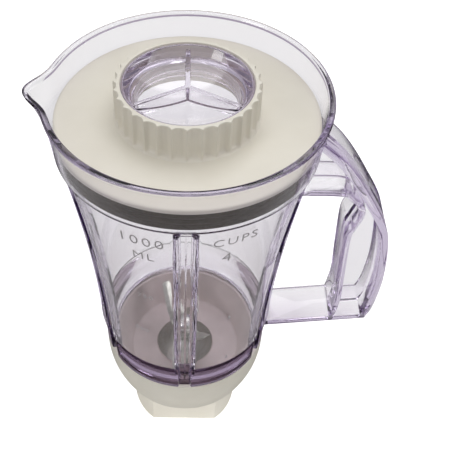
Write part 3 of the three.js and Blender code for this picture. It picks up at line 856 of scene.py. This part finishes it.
def handleBodies():
    half = handle["depth"] / 2
    strapLine = smoothLine(strapPoints(), 7)
    gripLine = smoothLine(gripPoints(), 6)
    corner = strapLine[-1]
    foot = seamHeight + handle["armRise"] - 1.5
    armLine = [Vector((goblet["bodyFoot"] - 12, foot)), corner.copy()]
    bevel = handle["bevel"]
    strap = pushed(thickened(strapLine, -handle["strap"]), -half, half, bevel=bevel)
    grip = pushed(thickened(gripLine, handle["grip"]), -half, half, bevel=bevel)
    arm = pushed(thickened(armLine, handle["arm"]), -half, half, bevel=bevel)
    web = pushed(strapLine + gripLine[::-1], -handle["web"] / 2, handle["web"] / 2)
    return strap, grip, arm, web


thread = {"starts": 4, "lead": 24.0, "arc": math.radians(40), "root": 0.4, "half": 0.9}


def threadStart(index, radius, height, depth):
    # one start of the screw thread between goblet and collar
    lead, arc = thread["lead"], thread["arc"]
    root, half = thread["root"], thread["half"]
    line = softened([
        (radius - root, height - half, 0),
        (radius + depth, height - 0.6, 0.3),
        (radius + depth, height + 0.6, 0.3),
        (radius - root, height + half, 0),
    ])
    bm = turned(line, 16, arc, lead * arc / tau)
    turn = Matrix.Rotation(index * tau / thread["starts"] - arc / 2, 4, "Z")
    bmesh.ops.transform(bm, matrix=turn, verts=bm.verts)
    return bm


def makeGoblet():
    shell = turned(gobletOutline(), goblet["sides"])
    foldWall(shell)
    strap, grip, arm, web = handleBodies()
    middle = goblet["wall"] / 2
    core = turned(
        [
            (0, seamHeight),
            (outerRadius(seamHeight + 1) - middle, seamHeight),
            *[(outerRadius(z) - middle, z) for z in spread(bandTop, ledgeHeight, 12)],
            *[(outerRadius(z) - middle, z) for z in spread(ledgeHeight + 1, rimHeight, 4)],
            (0, rimHeight),
        ],
        240,
    )
    grown = combined(strap, [(grip, "UNION"), (arm, "UNION"), (web, "UNION"), (core, "DIFFERENCE")])
    whole = combined(shell, [(grown, "UNION")])
    for index in range(thread["starts"]):
        joinedInto(whole, threadStart(index, goblet["neck"], neckBottom + 4.2, 1.3))
    return settle(whole, "clearGoblet", "goblet", clear, ["goblet", "handle"])


# Lid, its seal and the filler cap

lid = {
    "plateDrop": 12.5,
    "plate": 2.5,
    "skirt": 59.6,
    "wall": 2.0,
    "bore": 31.0,
    "throatWall": 2.0,
    "throatDepth": 4.5,
    "shelf": 2.4,
    "flutes": 32,
    "fluteDepth": 1.5,
    "hollow": 1.7,
    "soft": 2.2,
}

plateTop = rimHeight - lid["plateDrop"]
plateBottom = plateTop - lid["plate"]


def lidOutline():
    edge = innerRadius(plateBottom) - 0.3
    bore = lid["bore"]
    ringFace = bore + lid["throatWall"] + lid["fluteDepth"]
    shelf = bore - lid["shelf"]
    skirtBottom = ledgeHeight + 1
    up = spread(plateTop + 1.6, lidTop - 2.2, 5)
    return softened([
        (shelf, plateTop - lid["throatDepth"], 0.4),
        (bore + lid["throatWall"], plateTop - lid["throatDepth"], 0.4),
        (bore + lid["throatWall"], plateBottom, 0.6),
        (lid["skirt"] - lid["wall"], plateBottom, 0.8),
        (lid["skirt"] - lid["wall"], skirtBottom, 0.4),
        (lid["skirt"], skirtBottom, 0.4),
        (lid["skirt"], plateBottom, 0.3),
        (edge, plateBottom, 0.4),
        (edge, plateTop, lid["soft"]),
        (ringFace + 4, plateTop, 0),
        (ringFace, plateTop, 0.8),
        *[(ringFace, z, 0) for z in up],
        (ringFace, lidTop, 0.6),
        (bore, lidTop, 0.5),
        (bore, plateTop + lid["shelf"], 0.3),
        (shelf, plateTop + lid["shelf"], 0.5),
    ], 5)


def hollowFlutes(bm):
    # shallow hollows around the ring, from just above the plate to its top
    bore = lid["bore"] + lid["throatWall"]
    for v in bm.verts:
        radius = math.hypot(v.co.x, v.co.y)
        if radius < bore - 0.8 or radius > bore + lid["fluteDepth"] + 0.05 or v.co.z < plateTop + 0.2:
            continue
        angle = math.atan2(v.co.y, v.co.x)
        hollow = eased(abs(math.sin(angle * lid["flutes"] / 2)), -0.25, 0.95)
        hollow *= eased(radius, bore - 0.8, bore + lid["fluteDepth"])
        height = eased(v.co.z, plateTop, plateTop + 1.5)
        pull = lid["hollow"] * hollow * height / radius
        v.co.x *= 1 - pull
        v.co.y *= 1 - pull


def makeLid():
    bm = turned(lidOutline(), 512)
    hollowFlutes(bm)
    return settle(bm, "flutedLid", "lid", cream, ["lid"])


seal = {"lips": 3, "lipDepth": 0.9, "height": 11.6}


def makeSeal():
    bottom = ledgeHeight + 0.6
    top = min(plateBottom - 0.3, bottom + seal["height"])
    inner = lid["skirt"] + 0.1
    pitch = (top - bottom) / seal["lips"]
    side = []
    for i in range(seal["lips"]):
        low = bottom + pitch * i
        side.append((innerRadius(low) - 0.3 - seal["lipDepth"], low + pitch * 0.12, 0.3))
        side.append((innerRadius(low) - 0.3, low + pitch * 0.35, 0.5))
        side.append((innerRadius(low) - 0.3, low + pitch * 0.65, 0.5))
        side.append((innerRadius(low) - 0.3 - seal["lipDepth"], low + pitch * 0.88, 0.3))
    line = softened([(inner, bottom, 0.2), *side, (inner, top, 0.2)], 3)
    return settle(turned(line, 240), "lidSealRing", "lid", rubber, ["lid_seal"])


cap = {
    "drop": 0.8,  # edge below the ring's top
    "edge": 1.0,
    "slope": 4.6,  # drop of the sloping wall
    "inset": 2.9,  # how far that wall leans inward
    "bowl": 4.7,  # depth of the shallow bowl
    "wall": 2.7,
    "floor": 2.5,
    "spoke": 2.4,
    "spokeDrop": 1.7,
    "skirt": 5.0,
    "gap": 0.3,
}


def makeCap():
    outer = lid["bore"] - cap["gap"]
    top = lidTop - cap["drop"]
    bowlTop = top - cap["slope"]
    bowlFloor = bowlTop - cap["bowl"]
    bowlRadius = outer - cap["edge"] - cap["inset"]
    skirt = lid["bore"] - lid["shelf"] - cap["gap"]
    skirtBottom = bowlFloor - cap["floor"] - cap["skirt"]
    shelf = plateTop + lid["shelf"] + cap["gap"]
    bowl = [(r, bowlFloor + cap["bowl"] * (r / bowlRadius) ** 2) for r in spread(0, bowlRadius, 14)]
    under = [(r, z - cap["floor"]) for r, z in bowl if r < skirt - cap["wall"] - 1]
    line = softened([
        *[(r, z, 0) for r, z in under],
        (skirt - cap["wall"], under[-1][1] + 0.4, 0.6),
        (skirt - cap["wall"], skirtBottom, 0.5),
        (skirt, skirtBottom, 0.7),
        (skirt, shelf, 0.4),
        (outer, shelf, 0.4),
        (outer, top, 0.8),
        (outer - cap["edge"], top, 0.5),
        (bowlRadius, bowlTop, 0.7),
        *[(r, z, 0) for r, z in bowl[-2::-1]],
    ], 5)
    ring = turned(line, 192)
    spokes = []
    for i in range(3):
        length = outer - cap["edge"]
        half = cap["spoke"] / 2
        bar = pushed(
            [(-half, -half), (length, -half), (length, half), (-half, half)],
            bowlFloor - 1, top - cap["spokeDrop"], along="Z", bevel=0.5, segments=3,
        )
        turn = Matrix.Rotation(tau / 4 + i * tau / 3, 4, "Z")
        bmesh.ops.transform(bar, matrix=turn, verts=bar.verts)
        spokes.append((bar, "UNION"))
    whole = combined(ring, spokes)
    return settle(whole, "fillerCap", "filler_cap", clear, ["filler_cap"])


# Screw collar and drive foot

collar = {
    "wall": 2.2,
    "lip": 41.5,
    "bulge": 2.4,
    "floor": 2.7,
    "hole": 14.5,
    "flangeDrop": 14.6,
}


def collarRadius(z):
    share = (z - collarBottom) / (collarTop - collarBottom)
    middle = collar["bulge"] * math.sin(math.pi * share)
    return collar["lip"] + (goblet["seam"] - collar["lip"]) * share + middle


def makeCollar():
    floorTop = collarBottom + collar["floor"]
    shelf = collarTop - collar["flangeDrop"]
    inner = goblet["seam"] - collar["wall"]
    outside = spread(collarBottom + 1.6, collarTop - 2.2, 16)
    inside = spread(floorTop + 1, shelf - 2.2, 8)
    line = softened([
        (collar["hole"], collarBottom, 0.4),
        (collarRadius(collarBottom) - 0.4, collarBottom, 1.2),
        *[(collarRadius(z), z, 0) for z in outside],
        (goblet["seam"], collarTop, 0.8),
        (inner, collarTop, 0.3),
        (inner, shelf - 1, 0.5),
        *[(collarRadius(z) - collar["wall"] - 0.4, z, 0) for z in inside[::-1]],
        (collar["hole"], floorTop, 0.4),
    ])
    bm = turned(line, 288)
    for index in range(thread["starts"]):
        joinedInto(bm, threadStart(index, goblet["seam"] - collar["wall"] - 1.3, neckBottom + 6.5, 1.4))
    return settle(bm, "screwCollar", "base", cream, ["base_collar"])


foot = {"radius": 33.5, "flat": 26.6, "wall": 2.6, "plate": 3.5, "bore": 9.5}


def flatSided(radius, flat, parts=36):
    # a circle with its front and back cut flat
    corner = math.asin(flat / radius)
    right = [(radius * math.cos(a), radius * math.sin(a)) for a in spread(-corner, corner, parts)]
    return right + [(-x, -y) for x, y in right]


def makeFoot():
    top = collarBottom - 0.3
    outside = pushed(flatSided(foot["radius"], foot["flat"]), 0, top, along="Z", bevel=0.9, segments=3)
    hollow = pushed(
        flatSided(foot["radius"] - foot["wall"], foot["flat"] - foot["wall"]),
        -1, top - foot["plate"], along="Z", bevel=0.6,
    )
    bore = turned([(0, -2), (foot["bore"], -2), (foot["bore"], top + 1), (0, top + 1)], 96)
    bm = combined(outside, [(hollow, "DIFFERENCE"), (bore, "DIFFERENCE")])
    return settle(bm, "driveFoot", "base", cream, ["drive_foot"])


# Blade unit

dish = {
    "rim": 41.9,
    "floor": 33.0,
    "depth": 20.5,
    "wall": 2.4,
    "hubFoot": 17.5,
    "hubTop": 8.6,
    "hubHeight": 7.0,
    "hubTube": 10.5,
    "bush": 7.1,
    "flange": 2.5,
}


def makeHousing():
    low, high = reach("blade_housing")
    dishRim = high.z
    dishFloor = dishRim - dish["depth"]
    hubTop = dishFloor + dish["hubHeight"]
    flangeRadius = high.x
    sealTop = neckBottom - 0.3
    flangeTop = sealTop - 1.6 - 0.3
    flangeBottom = flangeTop - dish["flange"]
    slope = (dish["rim"] - dish["floor"]) / dish["depth"]
    lower = dish["floor"] + slope * (flangeBottom - dishFloor)
    line = softened([
        (dish["bush"], low.z, 0.3),
        (dish["hubTube"], low.z, 0.5),
        (dish["hubTube"], dishFloor - dish["wall"], 1),
        (dish["floor"], dishFloor - dish["wall"], 2),
        (lower + dish["wall"], flangeBottom, 0.6),
        (flangeRadius, flangeBottom, 0.3),
        (flangeRadius, flangeTop, 0.3),
        (dish["rim"], flangeTop, 0.3),
        (dish["rim"], dishRim, 0.4),
        (dish["rim"] - 1.2, dishRim, 0.5),
        (dish["floor"] + 0.5, dishFloor + 0.5, 0.5),
        (dish["floor"] - 0.5, dishFloor, 0.5),
        (dish["hubFoot"] + 0.5, dishFloor, 0.4),
        (dish["hubFoot"], dishFloor + 0.6, 0.5),
        (dish["hubFoot"] - 1.6, dishFloor + 1.6, 1.2),
        (dish["hubTop"] + 1.0, hubTop - 0.8, 2.5),
        (dish["hubTop"] - 0.4, hubTop, 0.5),
        (dish["bush"], hubTop, 0.3),
    ], 6)
    piece = settle(turned(line, 192), "bladeDish", "base", taupe, ["blade_housing"])
    piece.data.materials.append(hubSteel)
    for face in piece.data.polygons:
        middle = face.center - Vector((axisX, 0, 0))
        if math.hypot(middle.x, middle.y) < dish["hubFoot"] * mm and middle.z > (dishFloor + 0.3) * mm:
            face.material_index = 1  # the bearing's metal dome
    return piece


blades = {
    "length": 24.5,
    "width": 11.0,
    "thickness": 1.5,
    "flat": 8.5,
    "bore": 3.0,
    "upper": (50, math.radians(122)),  # bend and turn
    "lower": (-24, math.radians(82)),
    "ground": 2.6,  # width of the ground edge
    "edge": 0.22,  # share of the thickness left at the cutting edge
    "tipTaper": 0.62,
    "twist": 0.10,
}


def bladeWidth(along):
    # full in the middle, narrowing to a slanted tip
    share = max(0, (abs(along) - blades["flat"]) / (blades["length"] - blades["flat"]))
    return blades["width"] / 2 * (1 - blades["tipTaper"] * share ** 1.6)


def makeBlade(name, node, bend, turn):
    low, high = reach(node)
    bm = bmesh.new()
    bmesh.ops.create_grid(bm, x_segments=64, y_segments=12, size=1)
    rise = math.tan(math.radians(bend))
    bottom = low.z if bend > 0 else high.z - blades["thickness"]
    for v in bm.verts:
        along = v.co.x * (blades["length"] - 0.3)
        across = v.co.y * bladeWidth(along)
        v.co = (along, across, 0)
    bmesh.ops.recalc_face_normals(bm, faces=bm.faces)
    bmesh.ops.solidify(bm, geom=bm.faces[:], thickness=blades["thickness"])
    bmesh.ops.recalc_face_normals(bm, faces=bm.faces)
    heights = [v.co.z for v in bm.verts]
    base = min(heights)
    for v in bm.verts:
        along, across = v.co.x, v.co.y
        level = v.co.z - base
        edge = bladeWidth(along) - abs(across)
        cutting = across * (1 if along > 0 else -1) > 0
        if cutting and edge < blades["ground"] and abs(along) > blades["flat"]:
            level *= blades["edge"] + (1 - blades["edge"]) * edge / blades["ground"]
        out = max(0, abs(along) - blades["flat"] + 1.5)
        bent = rise * out * eased(out, 0, 3.0)
        twist = blades["twist"] * out * across / blades["width"] * (1 if along > 0 else -1)
        v.co = (along, across, bottom + level + bent + twist)
    limitLow, limitHigh = low.z, high.z
    for v in bm.verts:
        v.co.z = min(limitHigh, max(limitLow, v.co.z))
    spin = Matrix.Rotation(turn, 4, "Z")
    bmesh.ops.transform(bm, matrix=spin, verts=bm.verts)
    bore = turned([(0, limitLow - 1), (blades["bore"], limitLow - 1), (blades["bore"], limitHigh + 1),
                   (0, limitHigh + 1)], 32)
    whole = combined(bm, [(bore, "DIFFERENCE")])
    return settle(whole, name, "rotor", bladeSteel, [node], sharp=25)


nut = {
    "hexShare": 0.55,  # the hexagon's part of the height
    "domeStart": 0.5,
    "domeFoot": 0.84,  # shares of the hexagon's radius
    "domeWide": 0.80,
    "domeLift": 0.6,
    "boreShare": 0.6,
    "bore": 3.0,
}


def makeNut():
    low, high = reach("blade_nut")
    radius = high.x
    tall = high.z - low.z
    six = [(radius * math.cos(i * tau / 6), radius * math.sin(i * tau / 6)) for i in range(6)]
    hexTop = low.z + tall * nut["hexShare"]
    hexagon = pushed(six, low.z, hexTop, along="Z", bevel=0.5, segments=3)
    domeBottom = low.z + tall * nut["domeStart"]
    domeTall = tall * nut["domeStart"] - nut["domeLift"]
    dome = [(0, domeBottom), (radius * nut["domeFoot"], domeBottom)]
    for t in spread(0, 1, 10):
        angle = t * tau / 4
        across = radius * nut["domeWide"] * math.cos(angle)
        dome.append((across, domeBottom + nut["domeLift"] + domeTall * math.sin(angle)))
    cover = turned(dome, 64)
    boreTop = low.z + tall * nut["boreShare"]
    bore = turned([(0, low.z - 1), (nut["bore"], low.z - 1), (nut["bore"], boreTop), (0, boreTop)], 32)
    whole = combined(hexagon, [(cover, "UNION"), (bore, "DIFFERENCE")])
    return settle(whole, "acornNut", "rotor", steel, ["blade_nut"])


# CAD nodes that stay, with their finishes

kept = {
    "goblet_seal": rubber,
    "shaft_seal": rubber,
    "upper_bush": bronze,
    "lower_bush": bronze,
    "shaft": steel,
    "circlip": steel,
    "thrust_washer": nylon,
    "blade_spacer": steel,
    "drive_coupling": nylon,
    "coupling_nut": steel,
    "base_screw_1": steel,
    "base_screw_2": steel,
    "base_screw_3": steel,
    "base_screw_4": steel,
}


def dressKept():
    for node, material in kept.items():
        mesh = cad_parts[node].data
        mesh.materials.clear()
        mesh.materials.append(material)
    print("carried-over pieces dressed:", len(kept))


# Raised marks on the goblet

marks = {
    "depth": 0.22,
    "words": [  # text, degrees from the front, height above the floor, letter height
        ("1000", -19.8, 210.5, 7.4),
        ("ML", -19.5, 199.0, 6.0),
        ("CUPS", 21.5, 212.0, 6.2),
        ("4", 18.5, 198.5, 7.6),
        ("750", -21.5, 163.0, 3.8),
        ("500", -26.2, 129.5, 3.6),
        ("3", 25.5, 141.5, 3.6),
        ("2", 27.2, 101.5, 3.4),
    ],
}

frost = {"light": (0.50, 0.47, 0.48, 1), "dark": (0.36, 0.34, 0.35, 1)}


def frostedMark():
    material, nodes, links, shader = newMaterial("frostedMark")
    speck = objectNoise(nodes, links, 900, 3)
    links.new(blendedColor(nodes, links, speck, frost["dark"], frost["light"]), shader.inputs["Base Color"])
    shader.inputs["Roughness"].default_value = 0.55
    return material


def wordMesh(text, size):
    # letters with a thickness, lying flat at the origin and centred
    data = bpy.data.curves.new("letters", "FONT")
    data.body = text
    data.size = size * 1.30
    data.space_character = 1.25
    data.offset = -0.012 * size
    data.align_x = "CENTER"
    data.extrude = marks["depth"] / 2
    data.resolution_u = 3
    letters = bpy.data.objects.new("letters", data)
    scene.collection.objects.link(letters)
    bpy.context.view_layer.update()
    flat = bpy.data.meshes.new_from_object(letters)
    bm = bmesh.new()
    bm.from_mesh(flat)
    bpy.data.objects.remove(letters)
    bpy.data.curves.remove(data)
    bpy.data.meshes.remove(flat)
    return closed(bm)


def wrapOnWall(bm, degrees, height):
    for v in bm.verts:
        z = height + v.co.y
        radius = outerRadius(z) + v.co.z + marks["depth"] / 2 - 0.02
        angle = math.radians(degrees - 90) + v.co.x / outerRadius(z)
        v.co = (radius * math.cos(angle), radius * math.sin(angle), z)


def makeMarks():
    whole = bmesh.new()
    for text, degrees, height, size in marks["words"]:
        word = wordMesh(text, size)
        wrapOnWall(word, degrees, height)
        joinedInto(whole, word)
    bmesh.ops.recalc_face_normals(whole, faces=whole.faces)
    return settle(whole, "measureMarks", "goblet", frostedMark(), sharp=20)


# Everything put together

makeCamera()
makeStudio()
makeHousing()
makeBlade("lowerBlade", "lower_blade", *blades["lower"])
makeBlade("upperBlade", "upper_blade", *blades["upper"])
makeNut()
makeCollar()
makeFoot()
makeLid()
makeSeal()
makeCap()
makeGoblet()
makeMarks()
dressKept()
